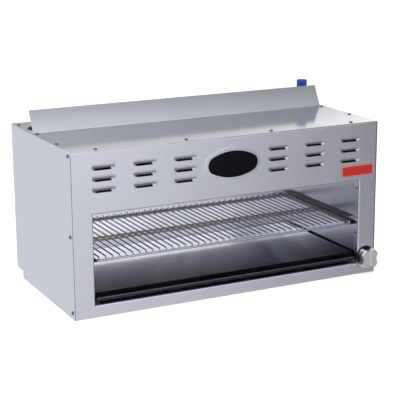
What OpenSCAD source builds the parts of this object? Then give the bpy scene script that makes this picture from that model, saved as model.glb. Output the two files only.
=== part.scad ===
// Gas cheese melter: a stainless counter-top cabinet, open at the front, with two
// downward-facing ceramic burners above a sliding wire rack and a crumb tray.
// Millimetres. X runs to the right, Y to the back and Z up. The origin is the middle
// of the cabinet's underside, and the front face lies at the lowest Y.

/* [Cabinet] */
// Width of the cabinet
body_w = 914.4; // [860:0.1:1250]
// Depth of the cabinet
body_d = 457.2; // [440:0.1:560]
// Height of the cabinet up to its lid
body_h = 438.15; // [430:0.05:520]
// Thickness of the outer sheets
sheet_t = 1.2; // [0.8:0.1:1.6]
// Width of the folded flanges that the sheets are joined by
flange_w = 30; // [27:1:36]
// Outer radius of the folds
bend_r = 3; // [2:0.1:3.4]
// Depth of the clearance notch along the lower back edge
notch_d = 50; // [30:1:56]
// Height of that notch
notch_h = 21; // [12:0.5:24]

/* [Front opening] */
// Width of the post at each side of the opening
post_w = 57.2; // [54:0.1:70]
// Height of the rail under the opening
rail_h = 32; // [28:0.5:40]
// Height of the louvred header above the opening
header_h = 164; // [158:0.5:180]
// Depth of the fold round the opening
return_d = 18; // [15:0.5:20]

/* [Louvres] */
// Width of one louvre
louvre_w = 63.5; // [40:0.5:80]
// Height of one louvre
louvre_h = 17; // [12:0.5:20]
// Depth that a louvre is pressed in
louvre_depth = 8; // [4:0.5:9]
// Corner radius at the lower ends of a louvre
louvre_corner = 9; // [6:0.5:10]
// Height of the open slot under a pressed hood
louvre_slot = 3; // [1.5:0.1:4]
// Columns of louvres at each side of the badge
louvre_cols = 3; // [1:1:3]
// Rows of louvres
louvre_rows = 3; // [1:1:3]
// Distance between columns
louvre_pitch_x = 114.3; // [90:0.1:118]
// Distance between rows
louvre_pitch_z = 29; // [24:0.5:31]
// Distance from the middle of the header to the first column
louvre_x = 139.7; // [132:0.1:144]
// Height of the lowest louvre above the lower edge of the header
louvre_z = 55; // [50:0.5:58]

/* [Plates] */
// Width of the oval badge over its bright rim
badge_w = 168; // [120:1:176]
// Height of the oval badge over its bright rim
badge_h = 92; // [70:1:100]
// Width of the bright rim
badge_rim = 10; // [4:0.5:14]
// Thickness of the bright rim
badge_t = 2.4; // [1.5:0.1:4]
// Height of the badge above the lower edge of the header
badge_z = 90; // [70:0.5:96]
// Width of the small rectangular plate
plate_w = 103; // [60:1:106]
// Height of the small rectangular plate
plate_h = 31; // [16:0.5:34]
// Thickness of the small rectangular plate
plate_t = 1; // [0.6:0.1:2]
// Distance from the plate to the side of the cabinet
plate_gap = 12; // [8:0.5:20]
// Height of the plate above the lower edge of the header
plate_z = 14; // [6:0.5:16]

/* [Knob and valve] */
// Height of the control shaft above the underside
control_z = 47; // [46:0.5:60]
// Diameter of the black bezel behind the knob
bezel_d = 60; // [50:1:62]
// Thickness of that bezel
bezel_t = 5; // [2:0.5:6]
// Distance that the bezel's middle lies above the control shaft
bezel_rise = 3; // [0:0.5:4]
// Diameter of the knob over its lobes
knob_d = 62; // [48:1:64]
// Length of the knob
knob_len = 21; // [18:1:30]
// Number of lobes round the knob
knob_lobes = 4; // [4:1:7]
// Depth of the finger flutes between the lobes
flute_depth = 9; // [5:0.5:10]
// Width of the groove across the knob's face
groove_w = 9; // [3:0.5:10]
// Diameter of the control shaft
stem_d = 8; // [6:0.5:10]
// Gap between the knob and its bezel
knob_gap = 0.5; // [0.4:0.1:1.5]

/* [Rack] */
// Height of the top of the wires above the underside
rack_z = 158; // [120:1:200]
// Diameter of the wires that run front to back
wire_d = 4; // [3:0.1:5]
// Distance between these wires
wire_pitch = 18.9; // [15:0.1:30]
// Diameter of the frame and cross rods
rod_d = 6; // [5:0.1:7]
// Gap between the rack's frame and the cabinet's opening at each side
rack_side_gap = 9; // [6:0.5:12]
// Width of the rack guide's ledge
guide_w = 20; // [16:0.5:26]
// Clearance between a sliding piece and what it slides on
slide_gap = 0.3; // [0.2:0.05:0.5]

/* [Crumb tray] */
// Height of the tray's sides
tray_wall = 25.5; // [15:0.5:30]
// Height of the front lip's back edge above the tray's underside
tray_lip = 23; // [18:0.5:25]
// Height of the lip's nose above the tray's underside
nose_h = 13.5; // [8:0.5:16]
// Distance that the nose stands forward of the tray's floor
lip_reach = 11.4; // [6:0.2:13]
// Depth of the lip's upper flange
lip_flange = 20; // [14:0.5:30]
// Gap between the tray and the cabinet's opening at each side
tray_side_gap = 6; // [4:0.5:10]
// Height of the tray's floor above the rail
tray_lift = 4; // [2:0.5:8]

/* [Burners] */
// Width of one ceramic tile
tile_w = 92; // [80:1:94]
// Depth of one ceramic tile
tile_d = 132; // [110:1:140]
// Thickness of one ceramic tile
tile_t = 13; // [10:0.5:14]
// Tiles in each burner
tile_count = 4; // [3:1:4]
// Distance between the middles of the two burners
burner_pitch = 400; // [396:1:410]
// Distance from the front of the cabinet to the middle of the burners
burner_y = 178; // [170:1:190]
// Height of the ceiling sheet above the lower edge of the header
ceiling_rise = 26; // [22:0.5:30]
// Height of the burner box above the ceiling sheet
burner_h = 44; // [36:1:48]
// Thickness of the burner box
burner_t = 1.5; // [1:0.1:2]
// Outer diameter of the mixing tube
venturi_d = 38; // [30:1:42]
// Radius of the mixing tube's bend
venturi_bend = 32; // [28:1:34]

/* [Gas pipes] */
// Outer diameter of the inlet pipe, three-quarter inch size
inlet_d = 26.7; // [24:0.1:28]
// Bore of the inlet pipe
inlet_bore = 20.9; // [16:0.1:21]
// Outer diameter of the manifold pipe, half inch size
manifold_d = 21.3; // [18:0.1:22]
// Bore of the manifold pipe
manifold_bore = 15.8; // [12:0.1:16]
// Distance from the front of the cabinet to the manifold
manifold_y = 28.6; // [26:0.1:34]
// Distance from the back of the cabinet to the inlet pipe
inlet_y = 97.2; // [90:0.1:110]
// Height of the inlet pipe above the lid
inlet_rise = 68; // [40:0.5:90]
// Height of the protective cap on the inlet pipe
cap_h = 24; // [16:0.5:32]
// Wall of that cap
cap_wall = 2.2; // [1.5:0.1:3]

/* [Flue] */
// Distance from the back of the cabinet to the rear liner
rear_gap = 62; // [56:0.5:66]
// Depth of the flue duct in front of the rear liner
flue_d = 66; // [60:0.5:70]
// Depth of the slot in the lid
slot_d = 48; // [30:0.5:50]
// Distance from the flue slot to the cabinet's sides
slot_inset = 70; // [66:1:100]
// Height of the flue deflector
deflector_h = 57; // [40:0.5:80]
// Distance that the deflector's top edge leans back
deflector_lean = 31; // [15:0.5:34]
// Distance from the deflector's ends to the cabinet's sides
deflector_inset = 7; // [4:0.5:20]
// Distance from the deflector's foot to the flue slot
deflector_gap = 43; // [40:0.5:50]

/* [Fixings] */
// Shank diameter of the sheet screws
screw_d = 4.8; // [4:0.1:5]
// Head diameter of the sheet screws
screw_head_d = 11; // [8:0.5:12]
// Head height of the sheet screws
screw_head_h = 3; // [2:0.1:4]
// Distance between the screws along the front of the lid
lid_screw_pitch = 254; // [200:1:260]
// Distance between the screws along each side of the lid
lid_side_pitch = 150; // [140:1:160]
// Size of the small liner screws against the lid screws
small_screw = 0.65; // [0.5:0.05:0.8]
// Radial clearance of screws and pipes in their holes
fit = 0.05; // [0.02:0.01:0.1]
// Diameter of the holes for wall brackets
wall_hole_d = 10; // [6:0.5:12]
// Distance between these holes across the back
wall_hole_x = 600; // [400:1:700]
// Distance between these holes up the back
wall_hole_z = 290; // [200:1:300]
// Bore of the leg nuts
leg_hole_d = 10; // [8:0.5:12]
// Distance between the leg nuts across the base
leg_x = 760; // [600:1:780]
// Distance between the leg nuts from front to back
leg_y = 320; // [260:1:330]
// Distance that their middle lies in front of the cabinet's middle
leg_offset = 20.6; // [15:0.1:25]

/* [Hidden] */
$fn = 48;
eps = 0.02;

// Planes of the cabinet
front_y = -body_d / 2;
back_y = body_d / 2;
side_x = body_w / 2;
skin_x = side_x - sheet_t;
lid_z = body_h - sheet_t;
side_fold = 22;
open_x = side_x - post_w;
header_z = body_h - header_h;
control_x = side_x - bezel_d / 2 - 0.2;

// Inner liner, flue and ceiling
liner_gap = 0.3;
liner_x = open_x + sheet_t + liner_gap;
liner_y = back_y - rear_gap;
liner_front_y = front_y + bend_r + 0.4;
liner_foot = 6;
nut_d = 2 * leg_hole_d;
nut_h = 0.8 * leg_hole_d;
nut_gap = 1;
ceiling_z = header_z + ceiling_rise;
ceiling_top = ceiling_z + sheet_t;
ceiling_fold = 20;
baffle_foot = 18;
flue_y = liner_y - flue_d;
slot_y = liner_y - 12 - slot_d;
slot_x = side_x - slot_inset;
deflector_y = slot_y - deflector_gap;
deflector_x = side_x - deflector_inset;
deflector_foot = 26;

// Rack, guides and tray
rack_x = open_x - rack_side_gap;
rack_front_y = front_y + 15;
rack_back_y = liner_y - 10;
frame_z = rack_z - wire_d - rod_d / 2 - 4;
cross_z = rack_z - wire_d - rod_d / 2 + 0.4;
guide_front_y = front_y + return_d + 0.5;
guide_low_z = frame_z - rod_d / 2 - slide_gap;
guide_lip_z = rack_z + 2;
tray_z = rail_h + tray_lift;
tray_x = open_x - tray_side_gap;
tray_front_y = front_y + 15;
tray_back_y = liner_y - 8;
runner_z = tray_z - slide_gap;
runner_w = 20;
runner_h = 18;
lip_y = lip_flange - lip_reach;

// Burners and gas train
burner_cy = front_y + burner_y;
box_l = tile_count * tile_w + 2 * burner_t + 1;
box_w = tile_d + 2 * burner_t + 1;
box_foot = 10;
box_top = ceiling_top + burner_h;
tile_lip = 5;
tile_z = ceiling_top - tile_t - 0.5;
frame_low_z = tile_z - burner_t;
screen_t = 1.5;
venturi_z = box_top + burner_t + venturi_bend;
pipe_y = front_y + manifold_y;
boss_len = 14;
manifold_left = -burner_pitch / 2 - 26;
bracket_x = 100;
bracket_w = 18;
bracket_foot = 26;
orifice_len = 14;
mouth_y = pipe_y + boss_len + orifice_len + 4;
inlet_cy = back_y - inlet_y;
inlet_top = body_h + inlet_rise;
inlet_hole_d = inlet_d + 2;
cap_clear = 0.1;
elbow_leg = 13;
valve_r = 15;
valve_back = pipe_y + 22;
stem_seat = 36;
supply_bracket_y = 60;
inlet_bracket_drop = 50;
function elbow_bend(d) = d / 2 + 4;
pilot_d = 6.35;
pilot_y = burner_cy - box_w / 2 - box_foot - 12;
pilot_bend = 14;

// Rows of screws, measured in from the edges
lid_front_inset = 19;
lid_side_inset = 12;
lid_rear_inset = 32;
skin_inset = 15;
skin_screw_low = 17;
skin_screw_high = 10;
liner_inset = 11;
liner_screw_low = 88;
liner_screw_high = 24;
deflector_screw_x = 140;
deflector_screw_inset = 50;
deflector_screw_edge = 9;

// ---------- shared shapes ----------

// Flat blank with its lowest corner at the given point
module blank(corner, size) {
  translate(corner) cube(size);
}

// Angle section: a leg up the Y axis, a fold of radius r and a leg along X
module angle_section(up, along, t, r = bend_r) {
  square([t, up - r]);
  translate([r, up - t]) square([along - r, t]);
  translate([r, up - r]) intersection() {
    difference() {
      circle(r);
      circle(r - t);
    }
    translate([-r, 0]) square(r);
  }
}

// Plate outline with round corners
module round_rect(w, h, r) {
  square([w - 2 * r, h], center = true);
  square([w, h - 2 * r], center = true);
  for (x = [-1, 1], y = [-1, 1])
    translate([x * (w / 2 - r), y * (h / 2 - r)]) circle(r);
}

// Draughtsman's oval: two small end arcs run into two large arcs
module oval(w, h) {
  a = w / 2;
  b = h / 2;
  small = b * 0.68;
  large = (pow(a - small, 2) + b * b - small * small) / (2 * (b - small));
  join_x = (a - small) * large / (large - small);
  for (s = [-1, 1]) translate([s * (a - small), 0]) circle(small);
  intersection() {
    square([2 * join_x, h], center = true);
    translate([0, b - large]) circle(large, $fn = 200);
    translate([0, large - b]) circle(large, $fn = 200);
  }
}

// Cylinder that starts at the given point and runs along an axis
module rod_x(start, d, len) { translate(start) rotate([0, 90, 0]) cylinder(d = d, h = len); }
module rod_y(start, d, len) { translate(start) rotate([-90, 0, 0]) cylinder(d = d, h = len); }
module rod_z(start, d, len) { translate(start) cylinder(d = d, h = len); }

// Low domed sheet screw that points down, with its head seated at the origin
module sheet_screw(len = 10) {
  cap_r = (pow(screw_head_d / 2, 2) + screw_head_h * screw_head_h) / (2 * screw_head_h);
  rotate_extrude() intersection() {
    translate([0, screw_head_h - cap_r]) circle(cap_r, $fn = 96);
    square([screw_head_d / 2, screw_head_h]);
  }
  translate([0, 0, -len]) cylinder(d = screw_d, h = len + eps);
}

// Places of the screws, each with its head side up the local Z axis
module at_lid_screws() {
  for (i = [-1.5 : 1.5])
    translate([i * lid_screw_pitch, front_y + lid_front_inset, body_h]) children();
  for (s = [-1, 1], i = [0 : 2])
    translate([s * (side_x - lid_side_inset), back_y - lid_rear_inset - i * lid_side_pitch, body_h])
      children();
}
module at_skin_screws(s) {
  for (z = [skin_screw_low, body_h / 2, body_h - skin_screw_high])
    translate([s * side_x, front_y + skin_inset, z]) rotate([0, s * 90, 0]) children();
}
module at_liner_screws(s) {
  for (z = [rail_h + liner_screw_low, header_z - liner_screw_high])
    translate([s * open_x, front_y + liner_inset, z]) rotate([0, -s * 90, 0])
      scale(small_screw) children();
}
module at_deflector_screws() {
  screw_y = deflector_y + deflector_foot - deflector_screw_edge;
  for (s = [-1, 1], x = [deflector_screw_x, deflector_x - deflector_screw_inset])
    translate([s * x, screw_y, body_h + sheet_t]) children();
}
module screw_hole(depth) {
  translate([0, 0, -depth]) cylinder(d = screw_d + 2 * fit, h = 2 * depth);
}

// ---------- outer cabinet ----------

// Space inside one louvre, grown by the sheet thickness to give the hood round it
module louvre_space(grow) {
  arc_r = (louvre_h * louvre_h + louvre_depth * louvre_depth) / (2 * louvre_depth);
  corner_x = louvre_w / 2 - louvre_corner;
  deep = louvre_depth + grow;
  back_corner = louvre_corner - deep * 0.45;
  intersection() {
    union() {
      for (s = [-1, 1]) translate([s * corner_x, 0, louvre_corner]) rotate([-90, 0, 0])
        cylinder(r1 = louvre_corner + grow, r2 = back_corner + grow, h = deep);
      translate([0, 0, louvre_corner]) linear_extrude(louvre_h - louvre_corner + grow)
        polygon([
          for (s = [-1, 1]) [s * (corner_x + louvre_corner + grow), 0],
          for (s = [1, -1]) [s * (corner_x + back_corner + grow), deep]
        ]);
      blank([-corner_x, 0, 0], [2 * corner_x, deep, louvre_corner + eps]);
    }
    difference() {
      blank([-louvre_w, 0, -grow], [2 * louvre_w, deep, louvre_h + grow]);
      rod_x([-louvre_w - eps, arc_r, louvre_h], 2 * (arc_r - grow), 2 * louvre_w + 2 * eps);
    }
  }
}

module at_louvres() {
  for (s = [-1, 1], col = [0 : louvre_cols - 1], row = [0 : louvre_rows - 1])
    translate([
      s * (louvre_x + col * louvre_pitch_x),
      front_y,
      header_z + louvre_z + row * louvre_pitch_z
    ]) children();
}

// One pressed hood, trimmed at its free lower edge
module louvre_hood() {
  difference() {
    louvre_space(sheet_t);
    louvre_space(0);
    blank([-louvre_w / 2 + louvre_corner, -eps, -sheet_t - eps],
          [louvre_w - 2 * louvre_corner, 2 * louvre_depth, louvre_slot + sheet_t]);
  }
}

module front_panel() {
  fold_x = skin_x - flange_w;
  tab = bend_r + eps;
  color("lightsteelblue") difference() {
    union() {
      // face, open for the cooking space and cut back for the fold along its top
      difference() {
        blank([bend_r - skin_x, front_y, 0], [2 * (skin_x - bend_r), sheet_t, lid_z]);
        blank([-fold_x, front_y - 1, lid_z - bend_r], [2 * fold_x, 3, bend_r + 1]);
        blank([-open_x - bend_r, front_y - 1, rail_h - bend_r],
              [2 * (open_x + bend_r), 3, header_z - rail_h + 2 * bend_r]);
      }
      // folded side edges
      for (s = [0, 1]) mirror([s, 0, 0]) translate([skin_x - tab, front_y, 0])
        linear_extrude(lid_z) mirror([1, -1, 0]) angle_section(tab, flange_w, sheet_t);
      // top flange under the lid
      translate([-fold_x, front_y, lid_z - tab]) rotate([90, 0, 90])
        linear_extrude(2 * fold_x) angle_section(tab, flange_w, sheet_t);
      // folds round the opening
      for (s = [0, 1]) mirror([s, 0, 0])
        translate([open_x, front_y + return_d, rail_h - bend_r])
          linear_extrude(header_z - rail_h + 2 * bend_r)
            mirror([0, 1]) angle_section(return_d, tab, sheet_t);
      for (top = [0, 1])
        translate([-open_x - bend_r, front_y + return_d, top ? header_z : rail_h])
          rotate([90, 0, 90]) linear_extrude(2 * (open_x + bend_r))
            mirror([0, 1 - top]) rotate(90) angle_section(return_d, tab, sheet_t);
      at_louvres() louvre_hood();
    }
    // relief behind the corners of the opening, for the liners
    for (s = [0, 1]) mirror([s, 0, 0])
      blank([open_x + sheet_t, front_y + bend_r, rail_h - bend_r - 1],
            [bend_r, return_d, header_z - rail_h + 2 * bend_r + 2]);
    at_louvres() translate([0, -eps, 0]) louvre_space(0);
    rod_y([control_x, front_y - 1, control_z], stem_d + 6, 4);
    at_lid_screws() screw_hole(6);
    for (s = [-1, 1]) {
      at_skin_screws(s) screw_hole(6);
      at_liner_screws(s) screw_hole(4);
    }
  }
}

// Side sheet with its folded top flange and the notch at the lower back corner
module side_panel(s) {
  fold_y = front_y + flange_w + 3;
  color("lightsteelblue") difference() {
    union() {
      blank([s > 0 ? skin_x : -side_x, front_y, 0], [sheet_t, body_d, lid_z - bend_r]);
      blank([s > 0 ? skin_x : -side_x, front_y, lid_z - bend_r - eps],
            [sheet_t, flange_w + 3, bend_r + eps]);
      mirror([s > 0 ? 0 : 1, 0, 0]) translate([side_x, back_y, lid_z - bend_r - eps])
        rotate([90, 0, 0]) linear_extrude(body_d - flange_w - 3)
          mirror([1, 0, 0]) angle_section(bend_r + eps, side_fold, sheet_t);
    }
    blank([-side_x - 1, back_y - notch_d, -1], [body_w + 2, notch_d + 1, notch_h + 1]);
    blank([-skin_x, back_y - sheet_t, 0], [2 * skin_x, 2, body_h]);
    rod_z([s * control_x, inlet_cy, lid_z - sheet_t - 1], inlet_hole_d, sheet_t + 2);
    at_lid_screws() screw_hole(6);
    at_skin_screws(s) screw_hole(6);
  }
}
module left_side_panel() { side_panel(-1); }
module right_side_panel() { side_panel(1); }

module at_wall_holes() {
  for (x = [-1, 1], z = [-1, 1])
    translate([x * wall_hole_x / 2, back_y, body_h / 2 + 10 + z * wall_hole_z / 2]) children();
}

module back_panel() {
  fold_x = skin_x - flange_w;
  color("silver") difference() {
    union() {
      blank([-skin_x, back_y - sheet_t, notch_h], [2 * skin_x, sheet_t, lid_z - notch_h]);
      blank([-fold_x, back_y - flange_w, lid_z - sheet_t], [2 * fold_x, flange_w, sheet_t]);
      for (x = [-skin_x, skin_x - sheet_t])
        blank([x, back_y - flange_w, notch_h], [sheet_t, flange_w, lid_z - notch_h - 8]);
    }
    at_wall_holes() rod_y([0, -2 * sheet_t, 0], wall_hole_d, 4 * sheet_t);
  }
}

module at_legs() {
  for (x = [-1, 1], y = [-1, 1])
    translate([x * leg_x / 2, y * leg_y / 2 - leg_offset, 0]) children();
}

module bottom_panel() {
  riser_y = back_y - notch_d;
  floor_y = front_y + sheet_t;
  color("silver") difference() {
    union() {
      blank([bend_r - skin_x, floor_y, 0], [2 * (skin_x - bend_r), riser_y - floor_y, sheet_t]);
      blank([-skin_x, front_y + flange_w + 1, 0],
            [2 * skin_x, riser_y - front_y - flange_w - 1, sheet_t]);
      blank([-skin_x, riser_y - sheet_t, 0], [2 * skin_x, sheet_t, notch_h + sheet_t]);
      blank([-skin_x, riser_y - sheet_t, notch_h],
            [2 * skin_x, notch_d - flange_w + sheet_t - 1, sheet_t]);
      blank([-skin_x + sheet_t, riser_y, notch_h],
            [2 * skin_x - 2 * sheet_t, notch_d - sheet_t, sheet_t]);
      blank([-open_x, floor_y, 0], [2 * open_x, sheet_t, rail_h - 8]);
      for (x = [-skin_x, skin_x - sheet_t])
        blank([x, front_y + flange_w + 1, 0], [sheet_t, riser_y - front_y - flange_w - 1, 14]);
    }
    at_legs() translate([0, 0, -1]) cylinder(d = leg_hole_d, h = sheet_t + 2);
  }
}

module leg_nuts() {
  color("darkgray") at_legs() translate([0, 0, sheet_t]) difference() {
    cylinder(d = nut_d, h = nut_h, $fn = 6);
    translate([0, 0, -1]) cylinder(d = leg_hole_d, h = leg_hole_d + 2, $fn = 48);
  }
}

// Room round the leg nuts, cut from liners that come near them in a small cabinet
module leg_nut_room() {
  at_legs() cylinder(d = nut_d + 2 * nut_gap, h = sheet_t + nut_h + nut_gap);
}

module top_panel() {
  color("gainsboro") difference() {
    blank([-side_x, front_y, lid_z], [body_w, body_d, sheet_t]);
    blank([-slot_x, slot_y, lid_z - 1], [2 * slot_x, slot_d, sheet_t + 2]);
    for (s = [-1, 1])
      rod_z([s * control_x, inlet_cy, lid_z - 1], inlet_hole_d, sheet_t + 2);
    at_lid_screws() screw_hole(6);
    at_deflector_screws() screw_hole(6);
  }
}

// ---------- flue ----------

module flue_deflector() {
  lean = atan(deflector_lean / deflector_h);
  blade_z = body_h + sheet_t;
  color("gainsboro") difference() {
    union() {
      blank([-deflector_x, deflector_y, body_h], [2 * deflector_x, deflector_foot, sheet_t]);
      translate([-deflector_x, 0, 0]) rotate([90, 0, 90]) linear_extrude(2 * deflector_x)
        polygon([
          [deflector_y, body_h],
          [deflector_y + sheet_t / cos(lean), body_h],
          [deflector_y + deflector_lean + sheet_t / cos(lean), body_h + deflector_h],
          [deflector_y + deflector_lean, body_h + deflector_h]
        ]);
    }
    at_deflector_screws() screw_hole(6);
  }
}

module flue_baffle() {
  color("silver") {
    blank([-liner_x, flue_y, ceiling_top], [2 * liner_x, sheet_t, lid_z - ceiling_top]);
    blank([-liner_x + ceiling_fold, flue_y - baffle_foot, ceiling_top],
          [2 * (liner_x - ceiling_fold), baffle_foot + eps, sheet_t]);
  }
}

module ceiling_baffle() {
  edge_y = front_y + sheet_t;
  color("silver") difference() {
    union() {
      blank([-liner_x, edge_y, ceiling_z], [2 * liner_x, flue_y + sheet_t - edge_y, sheet_t]);
      blank([-liner_x, edge_y, ceiling_z], [2 * liner_x, sheet_t, ceiling_fold]);
      for (x = [-liner_x, liner_x - sheet_t])
        blank([x, edge_y, ceiling_z], [sheet_t, flue_y - edge_y, ceiling_fold]);
    }
    at_burners() linear_extrude(4 * sheet_t, center = true)
      square([box_l + 1, box_w + 1], center = true);
    rod_z([0, pilot_y, ceiling_z - 1], pilot_d + 4, sheet_t + 2);
  }
}

// ---------- cooking space ----------

module side_liner(s) {
  color("silver") mirror([s > 0 ? 0 : 1, 0, 0]) difference() {
    union() {
      blank([liner_x, liner_front_y, sheet_t],
            [sheet_t, liner_y - liner_front_y, ceiling_z + ceiling_fold - sheet_t]);
      blank([liner_x, flue_y, sheet_t], [sheet_t, liner_y - flue_y, lid_z - sheet_t]);
      blank([liner_x, liner_front_y + flange_w, sheet_t],
            [liner_foot, liner_y - liner_front_y - flange_w, sheet_t]);
    }
    at_liner_screws(1) screw_hole(6);
    leg_nut_room();
  }
}
module left_liner() { side_liner(-1); }
module right_liner() { side_liner(1); }

module rear_liner() {
  color("silver") difference() {
    blank([-liner_x - sheet_t, liner_y, sheet_t],
          [2 * (liner_x + sheet_t), sheet_t, lid_z - sheet_t]);
    leg_nut_room();
  }
}

module tray_runner(s) {
  color("silver") mirror([s > 0 ? 0 : 1, 0, 0])
    translate([liner_x, liner_y, runner_z - runner_h]) rotate([90, 0, 0])
      linear_extrude(liner_y - guide_front_y) mirror([1, 0, 0])
        angle_section(runner_h, runner_w, sheet_t);
}
module left_tray_runner() { tray_runner(-1); }
module right_tray_runner() { tray_runner(1); }

// Channel that carries the rack, with its top lip flared up at the front
module rack_guide(s) {
  flare_l = 16;
  low = guide_low_z - sheet_t;
  tall = guide_lip_z + sheet_t - low;
  lip_w = guide_w - 4;
  color("silver") mirror([s > 0 ? 0 : 1, 0, 0]) {
    blank([liner_x - sheet_t, guide_front_y, low], [sheet_t, liner_y - guide_front_y, tall]);
    blank([liner_x - guide_w, guide_front_y, low], [guide_w, liner_y - guide_front_y, sheet_t]);
    blank([liner_x - lip_w, guide_front_y + flare_l, guide_lip_z],
          [lip_w, liner_y - guide_front_y - flare_l, sheet_t]);
    translate([liner_x - lip_w, guide_front_y + flare_l, guide_lip_z]) rotate([-22, 0, 0])
      blank([0, -flare_l, 0], [lip_w, flare_l + 0.4, sheet_t]);
  }
}
module left_rack_guide() { rack_guide(-1); }
module right_rack_guide() { rack_guide(1); }

// Frame rod bent round in the level plane
module rack_frame() {
  corner = 14;
  x = rack_x - rod_d / 2;
  y0 = rack_front_y;
  y1 = rack_back_y;
  for (y = [y0, y1]) rod_x([-x + corner, y, frame_z], rod_d, 2 * (x - corner));
  for (s = [-1, 1]) rod_y([s * x, y0 + corner, frame_z], rod_d, y1 - y0 - 2 * corner);
  for (sx = [0, 1], sy = [0, 1])
    mirror([sx, 0, 0]) translate([x - corner, sy ? y1 - corner : y0 + corner, frame_z])
      mirror([0, 1 - sy, 0]) rotate_extrude(angle = 90) translate([corner, 0]) circle(d = rod_d);
}

// Wire that lies on the cross rods and hooks down on to the frame at each end
module rack_wire() {
  hook = wire_d * 1.25;
  z = rack_z - wire_d / 2;
  y0 = rack_front_y;
  y1 = rack_back_y;
  rod_y([0, y0 + hook, z], wire_d, y1 - y0 - 2 * hook);
  for (end = [0, 1]) {
    y = end ? y1 : y0;
    rod_z([0, y, frame_z + 1], wire_d, z - hook - frame_z - 1);
    translate([0, end ? y - hook : y + hook, z - hook]) rotate([90, 0, end ? 90 : -90])
      rotate_extrude(angle = 90) translate([hook, 0]) circle(d = wire_d);
  }
}

module wire_rack() {
  reach = rack_x - rod_d - wire_d;
  gaps = round(2 * reach / wire_pitch);
  mid_y = (rack_front_y + rack_back_y) / 2;
  color("whitesmoke") {
    rack_frame();
    for (y = [mid_y - 24.5, mid_y])
      rod_x([-rack_x + rod_d / 2, y, cross_z], rod_d, 2 * rack_x - rod_d);
    for (i = [0 : gaps]) translate([-reach + i * 2 * reach / gaps, 0, 0]) rack_wire();
  }
}

// Front lip: the floor turned up and forward to a hemmed nose, then folded back as a flange
module lip_section() {
  nose_r = 1.5;
  rise_t = sheet_t / sin(atan2(nose_h, lip_reach));
  slope = (tray_lip - nose_h) / lip_flange;
  flange_t = sheet_t / cos(atan(slope));
  polygon([[0, 0], [rise_t, 0], [rise_t - lip_reach, nose_h], [-lip_reach, nose_h]]);
  polygon([
    [-lip_reach, nose_h], [nose_r - lip_reach, nose_h + nose_r * slope - flange_t],
    [lip_y, tray_lip - flange_t], [lip_y, tray_lip]
  ]);
  translate([nose_r - 0.1 - lip_reach, nose_h]) circle(nose_r);
}

module crumb_tray() {
  depth = tray_back_y - tray_front_y;
  color("lightgray") {
    blank([-tray_x, tray_front_y, tray_z], [2 * tray_x, depth, sheet_t]);
    translate([-tray_x, tray_front_y, tray_z]) rotate([90, 0, 90])
      linear_extrude(2 * tray_x) lip_section();
    for (x = [-tray_x, tray_x - sheet_t]) {
      blank([x, tray_front_y + lip_y, tray_z], [sheet_t, depth - lip_y, tray_wall]);
      translate([x, tray_front_y, tray_z]) rotate([90, 0, 90]) linear_extrude(sheet_t)
        polygon([[0, 0], [-lip_reach, nose_h], [lip_y, tray_lip], [lip_y, 0]]);
    }
    blank([-tray_x, tray_back_y - sheet_t, tray_z], [2 * tray_x, sheet_t, tray_wall]);
  }
}

// ---------- burners ----------

module at_burner(s) { translate([s * burner_pitch / 2, burner_cy, ceiling_top]) children(); }
module at_burners() { for (s = [-1, 1]) at_burner(s) children(); }

module burner_box(s) {
  color("slategray") at_burner(s) difference() {
    union() {
      linear_extrude(burner_t) square([box_l + 2 * box_foot, box_w + 2 * box_foot], center = true);
      linear_extrude(burner_h + burner_t) round_rect(box_l, box_w, 8);
    }
    translate([0, 0, -1]) linear_extrude(burner_h + 1)
      round_rect(box_l - 2 * burner_t, box_w - 2 * burner_t, 6.5);
    cylinder(d = venturi_d - 4, h = burner_h + 5);
  }
}
module left_burner_box() { burner_box(-1); }
module right_burner_box() { burner_box(1); }

module tile_frame(s) {
  lip_z = frame_low_z - ceiling_top;
  color("slategray") at_burner(s) translate([0, 0, lip_z]) difference() {
    linear_extrude(-lip_z) square([box_l, box_w], center = true);
    translate([0, 0, burner_t]) linear_extrude(-lip_z)
      square([box_l - 2 * burner_t, box_w - 2 * burner_t], center = true);
    translate([0, 0, -1]) linear_extrude(3 * burner_t)
      square([box_l - 2 * (burner_t + tile_lip), box_w - 2 * (burner_t + tile_lip)], center = true);
  }
}
module left_tile_frame() { tile_frame(-1); }
module right_tile_frame() { tile_frame(1); }

module burner_tiles(s) {
  joint = 0.4;
  color("bisque") translate([s * burner_pitch / 2, burner_cy, tile_z])
    for (i = [0 : tile_count - 1])
      blank([(i - tile_count / 2) * tile_w + joint / 2, -tile_d / 2, 0],
            [tile_w - joint, tile_d, tile_t]);
}
module left_burner_tiles() { burner_tiles(-1); }
module right_burner_tiles() { burner_tiles(1); }

module burner_screen(s) {
  across = 22;
  deep = 8;
  bar = 2;
  cell_x = (box_l - 8) / across;
  cell_y = (box_w - 8) / deep;
  color("dimgray") translate([s * burner_pitch / 2, burner_cy, frame_low_z - screen_t])
    linear_extrude(screen_t) difference() {
      square([box_l, box_w], center = true);
      for (i = [0 : across - 1], j = [0 : deep - 1])
        translate([(i + 0.5 - across / 2) * cell_x, (j + 0.5 - deep / 2) * cell_y])
          square([cell_x - bar, cell_y - bar], center = true);
    }
}
module left_burner_screen() { burner_screen(-1); }
module right_burner_screen() { burner_screen(1); }

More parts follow.
